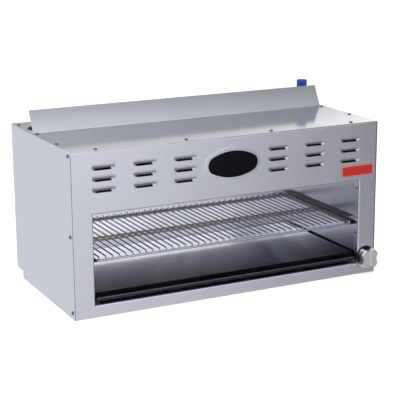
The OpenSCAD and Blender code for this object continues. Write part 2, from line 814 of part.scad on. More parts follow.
// Mixing tube: a bell mouth, a throat, a widening barrel and a bend into the box
module venturi(s) {
  wall = 1.6;
  tube_r = venturi_d / 2;
  throat_r = tube_r * 0.66;
  run = burner_cy - venturi_bend - mouth_y;
  color("darkgray") translate([s * burner_pitch / 2, 0, 0]) {
    translate([0, mouth_y, venturi_z]) rotate([-90, 0, 0]) rotate_extrude() polygon([
      [tube_r + 8, 0], [tube_r + 8, wall], [throat_r + wall, 20], [throat_r + wall, 30],
      [tube_r, run], [tube_r - wall, run],
      [throat_r, 30], [throat_r, 20], [tube_r + 8 - wall, 0]
    ]);
    translate([0, burner_cy - venturi_bend, venturi_z - venturi_bend]) rotate([90, 0, 90])
      rotate_extrude(angle = 90) translate([venturi_bend, 0]) difference() {
        circle(tube_r);
        circle(tube_r - wall);
      }
    translate([0, burner_cy, box_top + burner_t]) difference() {
      cylinder(r = tube_r + 7, h = 2);
      translate([0, 0, -1]) cylinder(r = tube_r - eps, h = 4);
    }
  }
}
module left_venturi() { venturi(-1); }
module right_venturi() { venturi(1); }

module orifice(s) {
  color("goldenrod") translate([s * burner_pitch / 2, pipe_y + boss_len, venturi_z])
    rotate([-90, 0, 0]) difference() {
      union() {
        cylinder(d = 14, h = orifice_len - 5, $fn = 6);
        cylinder(d = 9, h = orifice_len);
        translate([0, 0, -6]) cylinder(d = 9, h = 7);
      }
      translate([0, 0, -7]) cylinder(d = 2.4, h = orifice_len + 8);
    }
}
module left_orifice() { orifice(-1); }
module right_orifice() { orifice(1); }

// ---------- gas train ----------

// Straight pipe from the origin up the Z axis
module pipe(d, bore, len) {
  difference() {
    cylinder(d = d, h = len);
    translate([0, 0, -1]) cylinder(d = bore, h = len + 2);
  }
}

// Screwed elbow whose two legs run up the Y and Z axes from a corner at the origin
module elbow(d, bore) {
  bend = elbow_bend(d);
  for (turn = [0, 90]) rotate([-turn, 0, 0]) translate([0, 0, bend]) difference() {
    cylinder(d = d + 9, h = elbow_leg);
    translate([0, 0, -1]) cylinder(d = d + 2 * fit, h = elbow_leg + 2);
  }
  translate([0, bend, bend]) rotate([-90, 0, -90])
    rotate_extrude(angle = 90) translate([bend, 0]) difference() {
      circle(d = d + 6);
      circle(d = bore);
    }
}

module gas_manifold() {
  right = control_x - elbow_bend(manifold_d);
  color("dimgray") difference() {
    union() {
      rod_x([manifold_left, pipe_y, venturi_z], manifold_d, right - manifold_left);
      for (s = [-1, 1])
        rod_y([s * burner_pitch / 2, pipe_y, venturi_z], 18, boss_len);
      rod_y([0, pipe_y, venturi_z], 14, boss_len);
    }
    rod_x([manifold_left - 1, pipe_y, venturi_z], manifold_bore, right - manifold_left + 2);
    for (s = [-1, 1])
      rod_y([s * burner_pitch / 2, pipe_y, venturi_z], 9 + 2 * fit, boss_len + 1);
    rod_y([0, pipe_y, venturi_z], 8 + 2 * fit, boss_len + 1);
  }
}

module manifold_plug() {
  color("dimgray") {
    rod_x([manifold_left - 6, pipe_y, venturi_z], manifold_d - 2, 6);
    rod_x([manifold_left - eps, pipe_y, venturi_z], manifold_bore - 2 * fit, 12);
    translate([manifold_left - 12, pipe_y, venturi_z]) rotate([45, 0, 0])
      translate([0, -5, -5]) cube([6 + eps, 10, 10]);
  }
}

module manifold_brackets() {
  w = bracket_w;
  color("silver") for (x = [-bracket_x, bracket_x]) difference() {
    union() {
      blank([x - w / 2, pipe_y - 2, ceiling_top], [w, bracket_foot, 2]);
      blank([x - w / 2, pipe_y - 2, ceiling_top], [w, 4, venturi_z - ceiling_top]);
      rod_x([x - w / 2, pipe_y, venturi_z], manifold_d + 6, w);
    }
    rod_x([x - w, pipe_y, venturi_z], manifold_d + 2 * fit, 2 * w);
  }
}

module manifold_elbow() {
  color("gray") translate([control_x, pipe_y, venturi_z])
    mirror([0, 0, 1]) rotate([0, 0, 90]) elbow(manifold_d, manifold_bore);
}

module riser_pipe() {
  low = control_z + valve_r + 6;
  color("dimgray") translate([control_x, pipe_y, low])
    pipe(manifold_d, manifold_bore, venturi_z - elbow_bend(manifold_d) - low);
}

module gas_valve() {
  color("goldenrod") difference() {
    union() {
      rod_y([control_x, pipe_y - 18, control_z], 2 * valve_r, valve_back - pipe_y + 18);
      rod_y([control_x, front_y + 4, control_z], 20, pipe_y - front_y);
      rod_y([control_x, valve_back - 2, control_z], inlet_d + 7, 18);
      rod_z([control_x, pipe_y, control_z], manifold_d + 7, valve_r + 18);
    }
    rod_y([control_x, front_y, control_z], stem_d + 2 * fit, stem_seat + 2);
    rod_y([control_x, valve_back + 2, control_z], inlet_d + 2 * fit, 20);
    rod_y([control_x, valve_back - 8, control_z], manifold_bore, 20);
    rod_z([control_x, pipe_y, control_z + valve_r + 6], manifold_d + 2 * fit, 20);
    rod_z([control_x, pipe_y, control_z + valve_r - 6], manifold_bore, 20);
  }
}

module valve_stem() {
  tip_y = front_y - bezel_t - knob_gap - knob_len * 0.7 + 1;
  color("gold")
    rod_y([control_x, tip_y, control_z], stem_d, front_y + stem_seat - tip_y);
}

// Die-cast control knob: a lobed grip with a groove across its face
module knob() {
  r = knob_d / 2;
  edge_r = 3.5;
  groove_d = 3;
  bore_len = knob_len * 0.7;
  // a flute is an arc that leaves 38% of the rim to the lobes
  valley_r = r - flute_depth;
  rim_x = r * cos(112 / knob_lobes);
  flute_x = (r * r - valley_r * valley_r) / (2 * (rim_x - valley_r));
  base_y = front_y - bezel_t - knob_gap;
  color("silver") translate([control_x, base_y, control_z]) rotate([90, 0, 0]) difference() {
    rotate_extrude($fn = 96) {
      square([r, knob_len - edge_r]);
      square([r - edge_r, knob_len]);
      translate([r - edge_r, knob_len - edge_r]) intersection() {
        circle(edge_r);
        square(edge_r);
      }
    }
    for (i = [0 : knob_lobes - 1]) rotate(i * 360 / knob_lobes)
      translate([flute_x, 0, -1]) cylinder(r = flute_x - valley_r, h = knob_len + 2, $fn = 96);
    blank([-groove_w / 2, -r, knob_len - groove_d], [groove_w, 2 * r, groove_d + 1]);
    translate([0, 0, -1]) cylinder(d = stem_d + 2 * fit, h = bore_len + 1);
  }
}

module knob_bezel() {
  color("black") translate([control_x, front_y, control_z]) rotate([90, 0, 0]) difference() {
    translate([0, bezel_rise, 0]) rotate_extrude($fn = 96) polygon([
      [0, 0], [bezel_d / 2, 0], [bezel_d / 2, bezel_t - 1.5], [bezel_d / 2 - 1.5, bezel_t], [0, bezel_t]
    ]);
    translate([0, 0, -1]) cylinder(d = stem_d + 6, h = bezel_t + 2);
  }
}

module supply_pipe() {
  start = valve_back + 2;
  color("dimgray") translate([control_x, start, control_z]) rotate([-90, 0, 0])
    pipe(inlet_d, inlet_bore, inlet_cy - elbow_bend(inlet_d) - start);
}

module supply_elbow() {
  color("gray") translate([control_x, inlet_cy, control_z]) mirror([0, 1, 0])
    elbow(inlet_d, inlet_bore);
}

module inlet_pipe() {
  low = control_z + elbow_bend(inlet_d);
  color("dimgray") translate([control_x, inlet_cy, low])
    pipe(inlet_d, inlet_bore, inlet_top - low);
}

module supply_bracket() {
  y = pipe_y + supply_bracket_y;
  w = 2 * (control_x - liner_x - liner_foot - liner_gap);
  color("silver") difference() {
    union() {
      blank([control_x - w / 2, y, sheet_t], [w, 2, control_z + inlet_d / 2 + 6 - sheet_t]);
      blank([control_x - w / 2, y, sheet_t], [w, 22, 2]);
    }
    rod_y([control_x, y - 1, control_z], inlet_d + 2 * fit, 4);
  }
}

module inlet_bracket() {
  z = body_h - inlet_bracket_drop;
  w = inlet_d + 14;
  color("silver") difference() {
    union() {
      blank([control_x - w / 2, inlet_cy - w / 2, z], [skin_x - control_x + w / 2, w, 2]);
      blank([skin_x - 2, inlet_cy - w / 2, z - 20], [2, w, 22]);
    }
    rod_z([control_x, inlet_cy, z - 1], inlet_d + 2 * fit, 4);
  }
}

module inlet_cap() {
  bore = inlet_d + 2 * cap_clear;
  grip = bore + 2 * cap_wall;
  color("mediumblue") translate([control_x, inlet_cy, inlet_top + slide_gap + cap_wall - cap_h])
    difference() {
      union() {
        cylinder(d = grip, h = cap_h - 1.5);
        cylinder(d = grip - 3, h = cap_h);
      }
      translate([0, 0, -1]) cylinder(d = bore, h = cap_h - cap_wall + 1);
    }
}

module inlet_hole_plug() {
  color("black") translate([-control_x, inlet_cy, body_h]) {
    rotate_extrude() intersection() {
      translate([0, -15]) circle(r = 21.5, $fn = 96);
      square([inlet_d / 2 + 4, 7]);
    }
    translate([0, 0, -7]) cylinder(d = inlet_hole_d - 2 * fit, h = 7 + eps);
  }
}

// ---------- pilot ----------

module pilot_valve() {
  color("goldenrod") difference() {
    union() {
      rod_y([0, pipe_y + boss_len - 6, venturi_z], 8, 7);
      rod_y([0, pipe_y + boss_len, venturi_z], 16, 12);
      rod_z([0, pipe_y + boss_len + 6, venturi_z], 10, 14);
    }
    rod_y([0, pipe_y + boss_len + 6, venturi_z], pilot_d + 2 * fit, 8);
  }
}

module pilot_tube() {
  start = pipe_y + boss_len + 6;
  color("silver") {
    rod_y([0, start, venturi_z], pilot_d, pilot_y - pilot_bend - start);
    translate([0, pilot_y - pilot_bend, venturi_z - pilot_bend]) rotate([90, 0, 90])
      rotate_extrude(angle = 90) translate([pilot_bend, 0]) circle(d = pilot_d);
    rod_z([0, pilot_y, ceiling_z - 6], pilot_d, venturi_z - pilot_bend - ceiling_z + 6);
  }
}

module pilot_burner() {
  color("gray") translate([0, pilot_y, ceiling_z]) difference() {
    union() {
      translate([0, 0, -14]) cylinder(d = 13, h = 14);
      translate([-14, -9, -1.5]) cube([28, 18, 1.5]);
      translate([-5, 0, -13]) cube([10, 11, 9]);
    }
    translate([0, 0, -6]) cylinder(d = pilot_d + 2 * fit, h = 8);
  }
}

// ---------- plates and screws ----------

module badge_rim_ring() {
  color("silver") translate([0, front_y, header_z + badge_z]) rotate([90, 0, 0]) difference() {
    union() {
      linear_extrude(badge_t * 0.5) oval(badge_w, badge_h);
      linear_extrude(badge_t) oval(badge_w - 3, badge_h - 3);
    }
    translate([0, 0, -1]) linear_extrude(badge_t + 2)
      oval(badge_w - 2 * badge_rim, badge_h - 2 * badge_rim);
  }
}

module badge_insert() {
  w = badge_w - 2 * badge_rim - 0.6;
  h = badge_h - 2 * badge_rim - 0.6;
  color("black") translate([0, front_y, header_z + badge_z]) rotate([90, 0, 0]) {
    linear_extrude(badge_t - 0.8) oval(w, h);
    linear_extrude(badge_t - 0.2) oval(w - 3, h - 3);
  }
}

module model_plate() {
  color("crimson") translate([side_x - plate_gap - plate_w / 2, front_y, header_z + plate_z + plate_h / 2])
    rotate([90, 0, 0]) {
      linear_extrude(plate_t * 0.6) round_rect(plate_w, plate_h, 2);
      linear_extrude(plate_t) round_rect(plate_w - 3, plate_h - 3, 1);
    }
}

module lid_screws() { color("dimgray") at_lid_screws() sheet_screw(); }
module skin_screws() {
  color("silver") for (s = [-1, 1]) at_skin_screws(s) sheet_screw(9);
}
module deflector_screws() { color("dimgray") at_deflector_screws() sheet_screw(); }
module liner_screws() {
  color("silver") for (s = [-1, 1]) at_liner_screws(s) sheet_screw(9);
}

front_panel();
left_side_panel();
right_side_panel();
back_panel();
bottom_panel();
top_panel();
flue_deflector();
flue_baffle();
ceiling_baffle();
left_liner();
right_liner();
rear_liner();
left_tray_runner();
right_tray_runner();
left_rack_guide();
right_rack_guide();
wire_rack();
crumb_tray();
left_burner_box();
right_burner_box();
left_tile_frame();
right_tile_frame();
left_burner_tiles();
right_burner_tiles();
left_burner_screen();
right_burner_screen();
left_venturi();
right_venturi();
left_orifice();
right_orifice();
gas_manifold();
manifold_plug();
manifold_brackets();
manifold_elbow();
riser_pipe();
gas_valve();
valve_stem();
knob();
knob_bezel();
supply_pipe();
supply_elbow();
supply_bracket();
inlet_pipe();
inlet_bracket();
inlet_cap();
inlet_hole_plug();
pilot_valve();
pilot_tube();
pilot_burner();
badge_rim_ring();
badge_insert();
model_plate();
leg_nuts();
lid_screws();
skin_screws();
deflector_screws();
liner_screws();
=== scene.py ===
import math

import bpy
from mathutils import Matrix, Vector


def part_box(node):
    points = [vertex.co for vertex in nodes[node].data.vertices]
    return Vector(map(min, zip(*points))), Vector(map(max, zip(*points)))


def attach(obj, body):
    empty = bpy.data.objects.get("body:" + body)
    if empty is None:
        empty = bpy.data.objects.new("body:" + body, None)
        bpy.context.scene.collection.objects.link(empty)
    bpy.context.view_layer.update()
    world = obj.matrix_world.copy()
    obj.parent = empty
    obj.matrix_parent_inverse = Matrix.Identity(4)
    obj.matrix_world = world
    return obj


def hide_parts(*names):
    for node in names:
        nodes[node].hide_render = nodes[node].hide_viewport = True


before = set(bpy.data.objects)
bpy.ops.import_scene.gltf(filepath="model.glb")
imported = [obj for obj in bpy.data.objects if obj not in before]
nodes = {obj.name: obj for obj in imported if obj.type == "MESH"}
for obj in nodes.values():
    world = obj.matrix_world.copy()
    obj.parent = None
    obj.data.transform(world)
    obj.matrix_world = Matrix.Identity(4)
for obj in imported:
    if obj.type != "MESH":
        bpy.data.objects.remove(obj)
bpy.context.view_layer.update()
scene = bpy.context.scene


# ---------------------------------------------------------------------------
# Studio: a pale floor, a white surround with a few dim and bright places that
# the sheets mirror, and two large soft lamps. The floor keeps the shadow.

def add(tree, kind, sockets=None, **settings):
    """Puts one node in a tree. A socket's value is a number, a colour or another node's output."""
    made = tree.nodes.new(kind)
    for key, value in settings.items():
        setattr(made, key, value)
    for key, value in (sockets or {}).items():
        if isinstance(value, bpy.types.NodeSocket):
            tree.links.new(value, made.inputs[key])
        else:
            made.inputs[key].default_value = value
    return made


def spread(tree, value, low, high, start=0.0, end=1.0, smooth=False):
    """A value that runs from low to high as another runs from start to end."""
    kind = "SMOOTHSTEP" if smooth else "LINEAR"
    return add(tree, "ShaderNodeMapRange", {0: value, 1: start, 2: end, 3: low, 4: high},
               interpolation_type=kind).outputs[0]


def reckon(tree, operation, *values):
    return add(tree, "ShaderNodeMath", dict(enumerate(values)), operation=operation).outputs[0]


camera = bpy.data.objects.new("camera", bpy.data.cameras.new("camera"))
scene.collection.objects.link(camera)
camera.data.sensor_width = 36.0
camera.data.lens = 112.11
camera.data.clip_end = 60.0
stand = Vector((-1.51219, -3.06900, 1.08200))
turn, tilt, roll = 0.461959341, -0.248467859, -0.0070153781
ahead = Vector((math.sin(turn) * math.cos(tilt), math.cos(turn) * math.cos(tilt), math.sin(tilt)))
level = Vector((math.cos(turn), -math.sin(turn), 0.0))
right = math.cos(roll) * level + math.sin(roll) * level.cross(ahead)
above = right.cross(ahead)
camera.matrix_world = Matrix((
    (right.x, above.x, -ahead.x, stand.x),
    (right.y, above.y, -ahead.y, stand.y),
    (right.z, above.z, -ahead.z, stand.z),
    (0, 0, 0, 1)))
scene.camera = camera
scene.view_settings.view_transform = "Standard"

surround = bpy.data.worlds.new("studio")
scene.world = surround
surround.use_nodes = True
tree = surround.node_tree
tree.nodes.clear()
way = add(tree, "ShaderNodeTexCoord").outputs["Generated"]
shade = 1.0
# Each place: the way to its middle, the cosines where it starts and is full, and what it adds
for middle, start, full, gain in (
        ((0.82, -0.50, -0.10), 0.775, 0.93, -0.88),  # front right, low
        ((0.80, -0.35, 0.49), 0.80, 0.96, -0.62),    # front right, high
        ((0.20, -0.30, 0.93), 0.84, 0.98, -0.25),    # overhead
        ((-0.86, -0.44, -0.26), 0.86, 0.96, -0.90),  # front left, low
        ((0.35, -0.10, -0.93), 0.66, 0.90, -0.90),   # under the front edge
        ((0.10, -0.85, -0.52), 0.90, 0.98, -0.34),   # front, low
        ((0.38, -0.92, 0.08), 0.965, 0.992, 0.50),   # front, level
        ((0.25, 0.95, 0.20), 0.93, 0.985, -0.40),    # behind
        ((0.87, 0.43, -0.25), 0.84, 0.95, 1.10)):    # right, behind
    near = add(tree, "ShaderNodeVectorMath", {0: way, 1: Vector(middle).normalized()},
               operation="DOT_PRODUCT").outputs["Value"]
    shade = reckon(tree, "MULTIPLY", shade, spread(tree, near, 1.0, 1.0 + gain, start, full, smooth=True))
rays = add(tree, "ShaderNodeLightPath").outputs
seen = reckon(tree, "MAXIMUM", rays["Is Camera Ray"], rays["Is Transmission Ray"])
strength = add(tree, "ShaderNodeMix", {0: seen, 2: shade, 3: 1.0}, data_type="FLOAT").outputs[0]
backdrop = add(tree, "ShaderNodeBackground", {"Color": (1, 1, 1, 1), "Strength": strength})
add(tree, "ShaderNodeOutputWorld", {"Surface": backdrop.outputs[0]})

floor_level = -0.0006
floor_corners = (-14, -12), (14, -12), (14, 16), (-14, 16)
floor_mesh = bpy.data.meshes.new("floor")
floor_mesh.from_pydata([(x, y, floor_level) for x, y in floor_corners], [], [(0, 1, 2, 3)])
floor = bpy.data.objects.new("floor", floor_mesh)
scene.collection.objects.link(floor)
paint = bpy.data.materials.new("floor_paint")
paint.use_nodes = True
tree = paint.node_tree
shader = tree.nodes["Principled BSDF"]
shader.inputs["Base Color"].default_value = (0.86, 0.86, 0.87, 1)
shader.inputs["Roughness"].default_value = 0.8
shader.inputs["Specular IOR Level"].default_value = 0.1
shader.inputs["Emission Color"].default_value = (1, 1, 1, 1)
glow_for_camera = 0.42
rays = add(tree, "ShaderNodeLightPath").outputs
tree.links.new(spread(tree, rays["Is Camera Ray"], 0.0, glow_for_camera), shader.inputs["Emission Strength"])
floor_mesh.materials.append(paint)
floor.visible_glossy = False


def soft_lamp(name, place, size, power):
    """A rectangular lamp that faces the cabinet and isn't mirrored in it."""
    lamp = bpy.data.lights.new(name, "AREA")
    lamp.shape = "RECTANGLE"
    lamp.size, lamp.size_y = size
    lamp.energy = power
    holder = bpy.data.objects.new(name, lamp)
    scene.collection.objects.link(holder)
    holder.location = place
    cabinet = Vector((0, 0, 0.2))
    holder.rotation_euler = (cabinet - Vector(place)).to_track_quat("-Z", "Y").to_euler()
    holder.visible_glossy = False


soft_lamp("key_lamp", place=(-2.6, -2.4, 3.0), size=(1.6, 1.6), power=60.0)
soft_lamp("top_lamp", place=(0.4, -0.6, 3.4), size=(2.2, 1.4), power=22.0)


# ---------------------------------------------------------------------------
# Outer sheets: 1.2 mm stainless steel, ground with a fine straight grain along
# each sheet, then cut, pressed and folded. The louvres are pressed from the front.

def two_tone(tree, mask, first, second):
    """First colour where the mask is 0, second where it is 1."""
    return add(tree, "ShaderNodeMix", {0: mask, 6: first, 7: second}, data_type="RGBA").outputs[2]


def along(tree, axis, source="Object"):
    """How far a surface point lies along an axis, or how far its Normal leans that way."""
    point = add(tree, "ShaderNodeTexCoord").outputs[source]
    return add(tree, "ShaderNodeSeparateXYZ", {0: point}).outputs[axis]


def shader_group(name, inputs, outputs):
    """A shader group with named inputs and outputs: its tree, and what its inputs give."""
    group = bpy.data.node_groups.new(name, "ShaderNodeTree")
    for label, kind, value in inputs:
        socket = group.interface.new_socket(label, in_out="INPUT", socket_type="NodeSocket" + kind)
        socket.default_value = value
    for label in outputs:
        group.interface.new_socket(label, in_out="OUTPUT", socket_type="NodeSocketFloat")
    return group, add(group, "NodeGroupInput").outputs


# Ground grain that runs along the sheet, and faint clouds left by wiping it
grain, given = shader_group("sheet_grain", [("Lines", "Vector", (3, 3, 900))], ["Grain", "Cloud"])
spot = add(grain, "ShaderNodeTexCoord").outputs["Object"]
drawn_out = add(grain, "ShaderNodeVectorMath", {0: spot, 1: given["Lines"]}, operation="MULTIPLY").outputs[0]
fine = add(grain, "ShaderNodeTexNoise", {"Vector": drawn_out, "Scale": 1.0, "Detail": 4.0,
                                         "Roughness": 0.65}).outputs[0]
broad = add(grain, "ShaderNodeTexNoise", {"Vector": spot, "Scale": 5.0, "Detail": 2.0,
                                          "Roughness": 0.5}).outputs[0]
add(grain, "NodeGroupOutput", {"Grain": fine, "Cloud": broad})

# Rubbed edges and folds, made brighter by wear and a painted highlight: where the surface turns within the
# given distance
wear_and_highlight, given = shader_group("edge_wear_and_highlight", [("Reach", "Float", 0.002), ("Breaks", "Float", 90.0)], ["Worn_and_highlight"])
rounded = add(wear_and_highlight, "ShaderNodeBevel", {"Radius": given["Reach"]}, samples=4).outputs[0]
facing = add(wear_and_highlight, "ShaderNodeNewGeometry").outputs["Normal"]
likeness = add(wear_and_highlight, "ShaderNodeVectorMath", {0: rounded, 1: facing},
               operation="DOT_PRODUCT").outputs["Value"]
edge = spread(wear_and_highlight, likeness, 1.0, 0.0, 0.72, 0.985)
spot = add(wear_and_highlight, "ShaderNodeTexCoord").outputs["Object"]
patches = add(wear_and_highlight, "ShaderNodeTexNoise", {"Vector": spot, "Scale": given["Breaks"],
                                           "Detail": 3.0}).outputs[0]
broken = spread(wear_and_highlight, patches, 0.35, 1.0, 0.35, 0.6)
add(wear_and_highlight, "NodeGroupOutput", {"Worn_and_highlight": reckon(wear_and_highlight, "MULTIPLY", edge, broken)})


def finish_of(name, metal, gloss=0.5):
    """A new material: its tree and its shader, with the plain values set on the shader itself."""
    finish = bpy.data.materials.new(name)
    finish.use_nodes = True
    shader = finish.node_tree.nodes["Principled BSDF"]
    shader.inputs["Metallic"].default_value = metal
    shader.inputs["Specular IOR Level"].default_value = gloss
    return finish, finish.node_tree, shader


def emboss(tree, shader, height, strength, depth=0.0002):
    """Gives a finish the relief of a height that runs from 0 to 1."""
    relief = add(tree, "ShaderNodeBump", {"Strength": strength, "Distance": depth, "Height": height})
    tree.links.new(relief.outputs[0], shader.inputs["Normal"])


def sheet_finish(name, pale, deep, lines, rough, bump=0.05):
    """Ground or rolled metal between two colours, with smoother rubbed edges that are brighter by wear and a
    painted highlight.

    The grain runs along the axes where lines, its count for each metre, is small.
    """
    wear_and_highlight_gain, rubbed_smoother, brightest = 1.14, 0.75, 0.95
    finish, tree, shader = finish_of(name, 1.0)
    marks = add(tree, "ShaderNodeGroup", {"Lines": lines}, node_tree=grain).outputs
    worn_and_highlight = add(tree, "ShaderNodeGroup", {"Reach": 0.0016}, node_tree=wear_and_highlight).outputs["Worn_and_highlight"]
    both = reckon(tree, "ADD", marks["Grain"], marks["Cloud"])
    base = two_tone(tree, spread(tree, both, 0.0, 1.0, 0.6, 1.4), deep + (1,), pale + (1,))
    bright = tuple(min(brightest, part * wear_and_highlight_gain) for part in pale) + (1,)
    tree.links.new(two_tone(tree, worn_and_highlight, base, bright), shader.inputs["Base Color"])
    dull = spread(tree, both, rough[0], rough[1], 0.7, 1.3)
    smoother = spread(tree, worn_and_highlight, 1.0, rubbed_smoother)
    tree.links.new(reckon(tree, "MULTIPLY", dull, smoother), shader.inputs["Roughness"])
    emboss(tree, shader, marks["Grain"], bump)
    return finish


def overlay(finish, mask, colour, film=False):
    """Lays a colour over a finish where the mask is 1. A film lets the finish show through."""
    tree = finish.node_tree
    base = tree.nodes["Principled BSDF"].inputs["Base Color"]
    own = base.links[0].from_socket
    if film:
        colour = add(tree, "ShaderNodeMix", {0: 1.0, 6: own, 7: colour}, data_type="RGBA",
                     blend_type="MULTIPLY").outputs[2]
    tree.links.new(two_tone(tree, mask, own, colour), base)


def dress(finish, *names):
    for name in names:
        nodes[name].material_slots[0].material = finish


front_finish = sheet_finish("front_sheet", pale=(0.78, 0.79, 0.89), deep=(0.75, 0.76, 0.86),
                            lines=(3, 3, 900), rough=(0.26, 0.30), bump=0.022)
side_finish = sheet_finish("side_sheet", pale=(0.55, 0.58, 0.65), deep=(0.525, 0.55, 0.62),
                           lines=(3, 3, 900), rough=(0.29, 0.33), bump=0.03)

# The steep inner ends of the louvres are painted near white: a painted highlight
tree = front_finish.node_tree
header_low, header_half = 0.29, 0.43
header = reckon(tree, "MULTIPLY", reckon(tree, "GREATER_THAN", along(tree, "Z"), header_low),
                reckon(tree, "LESS_THAN", reckon(tree, "ABSOLUTE", along(tree, "X")), header_half))
louvre_end_highlight = spread(tree, along(tree, "X", "Normal"), 0.0, 1.0, -0.80, -0.95)
overlay(front_finish, reckon(tree, "MULTIPLY", header, louvre_end_highlight), (0.99, 0.99, 1.0, 1))
dress(front_finish, "front_panel")
dress(side_finish, "left_side_panel", "right_side_panel")


# ---------------------------------------------------------------------------
# Lid and flue deflector: the same steel with a finer, brighter face. The lid is
# screwed down on the folded edges; the deflector's foot is screwed to the lid.

# The lid's face is darker towards the back
lid_finish = sheet_finish("lid_sheet", pale=(0.92, 0.93, 0.98), deep=(0.86, 0.87, 0.92),
                          lines=(3, 900, 3), rough=(0.09, 0.13), bump=0.02)
tree = lid_finish.node_tree
darker_to_back = spread(tree, along(tree, "Y"), 0.0, 1.0, -0.17, 0.07)
overlay(lid_finish, darker_to_back, (0.52, 0.52, 0.53, 1), film=True)
dress(lid_finish, "top_panel")

# The deflector's colour is darkened towards its upper edge: painted shade
deflector_finish = sheet_finish("deflector_sheet", pale=(0.72, 0.74, 0.81), deep=(0.66, 0.68, 0.75),
                                lines=(3, 700, 700), rough=(0.20, 0.26))
tree = deflector_finish.node_tree
painted_shade_top = spread(tree, along(tree, "Z"), 0.0, 1.0, 0.448, 0.492)
overlay(deflector_finish, painted_shade_top, (0.74, 0.74, 0.75, 1), film=True)
dress(deflector_finish, "flue_deflector")


# ---------------------------------------------------------------------------
# Back and bottom: plain mill-finish sheet, duller and cloudier than the front,
# folded at the edges. The pipe brackets are cut from the same sheet.

mill_finish = sheet_finish("mill_sheet", pale=(0.55, 0.56, 0.61), deep=(0.44, 0.45, 0.50),
                           lines=(6, 6, 260), rough=(0.26, 0.38))
dress(mill_finish, "back_panel", "bottom_panel", "supply_bracket", "inlet_bracket", "manifold_brackets")


# ---------------------------------------------------------------------------
# Walls of the cooking space: bright rolled stainless sheets, tinted straw where
# the burners heat them. Folded guides carry the rack, and ledges the tray.

# Heat colours: strongest at the given height, fading below it
tint, given = shader_group("heat_tint", [("Height", "Float", 0.30), ("Fade", "Float", 0.10)], ["Heat"])
below = reckon(tint, "SUBTRACT", given["Height"], along(tint, "Z"))
strong = spread(tint, reckon(tint, "DIVIDE", below, given["Fade"]), 1.0, 0.0, smooth=True)
spot = add(tint, "ShaderNodeTexCoord").outputs["Object"]
clouds = add(tint, "ShaderNodeTexNoise", {"Vector": spot, "Scale": 9.0, "Detail": 4.0}).outputs[0]
uneven = spread(tint, clouds, 0.3, 1.0, 0.3, 0.7)
add(tint, "NodeGroupOutput", {"Heat": reckon(tint, "MULTIPLY", strong, uneven)})


def heated(finish, height, fade, amount):
    """Lays the straw tint of heat over a finish's own colour."""
    tree = finish.node_tree
    heat = add(tree, "ShaderNodeGroup", {"Height": height, "Fade": fade}, node_tree=tint).outputs["Heat"]
    overlay(finish, reckon(tree, "MULTIPLY", heat, amount), (0.86, 0.74, 0.56, 1), film=True)
    return finish


# The rear sheet is paler than the side liners of the same steel: painted light
rear_finish = sheet_finish("rear_sheet", pale=(0.91, 0.925, 0.99), deep=(0.87, 0.885, 0.96),
                           lines=(3, 3, 500), rough=(0.20, 0.28), bump=0.03)
liner_finish = sheet_finish("liner_sheet", pale=(0.72, 0.73, 0.80), deep=(0.62, 0.63, 0.70),
                            lines=(3, 3, 500), rough=(0.16, 0.24), bump=0.03)
guide_finish = sheet_finish("guide_sheet", pale=(0.58, 0.58, 0.63), deep=(0.46, 0.46, 0.51),
                            lines=(6, 6, 260), rough=(0.26, 0.36))
ceiling_finish = sheet_finish("ceiling_sheet", pale=(0.42, 0.42, 0.45), deep=(0.32, 0.32, 0.35),
                              lines=(6, 6, 260), rough=(0.35, 0.45))

# The rear sheet is bowed a little, so that it leans back towards its top
tree = rear_finish.node_tree
lean = 0.115
height = reckon(tree, "MULTIPLY", along(tree, "Z"), -lean)
bow = add(tree, "ShaderNodeBump", {"Strength": 1.0, "Distance": 1.0, "Height": height})
tree.links.new(bow.outputs[0], tree.nodes["Bump"].inputs["Normal"])
dress(heated(rear_finish, height=0.32, fade=0.08, amount=0.5), "rear_liner")
dress(heated(liner_finish, height=0.32, fade=0.08, amount=0.5), "left_liner", "right_liner")
dress(heated(ceiling_finish, height=0.33, fade=0.10, amount=0.9), "ceiling_baffle", "flue_baffle")
dress(guide_finish, "left_rack_guide", "right_rack_guide", "left_tray_runner", "right_tray_runner")


# ---------------------------------------------------------------------------
# Crumb tray: one folded sheet of rolled stainless steel, painted darker towards
# its front lip as painted shade. It slides in under the rack.

tray_finish = sheet_finish("tray_sheet", pale=(0.92, 0.925, 0.99), deep=(0.85, 0.855, 0.94),
                           lines=(3, 3, 300), rough=(0.12, 0.18), bump=0.02)
tree = tray_finish.node_tree
# Painted shade: the tray's colour is darkened towards its front lip
painted_shade_front = spread(tree, along(tree, "Y"), 1.0, 0.0, -0.205, 0.06)
overlay(tray_finish, painted_shade_front, (0.17, 0.17, 0.195, 1))
dress(tray_finish, "crumb_tray")


# ---------------------------------------------------------------------------
# Rack: steel wires laid on a bent frame and two cross rods, spot welded at each
# crossing, then chromed. The weld nuggets show as small flattened beads.

def growing(name, inputs):
    """A Geometry Nodes tree that takes a cloud of points and gives a mesh: it, and what its inputs give."""
    tree = bpy.data.node_groups.new(name, "GeometryNodeTree")
    tree.interface.new_socket("Places", in_out="INPUT", socket_type="NodeSocketGeometry")
    for label, value in inputs:
        socket = tree.interface.new_socket(label, in_out="INPUT", socket_type="NodeSocketFloat")
        socket.default_value = value
    tree.interface.new_socket("Finish", in_out="INPUT", socket_type="NodeSocketMaterial")
    tree.interface.new_socket("Mesh", in_out="OUTPUT", socket_type="NodeSocketGeometry")
    return tree, add(tree, "NodeGroupInput").outputs


def vector(tree, **parts):
    return add(tree, "ShaderNodeCombineXYZ", parts).outputs[0]


def moved(tree, shape, **sockets):
    """A shape after the Translation, Rotation or Scale given."""
    return add(tree, "GeometryNodeTransform", {"Geometry": shape, **sockets}).outputs[0]


def on_points(tree, points, shape, **sockets):
    """A shape on each point, after the Rotation or Scale given."""
    return add(tree, "GeometryNodeInstanceOnPoints",
               {"Points": points, "Instance": shape, **sockets}).outputs[0]


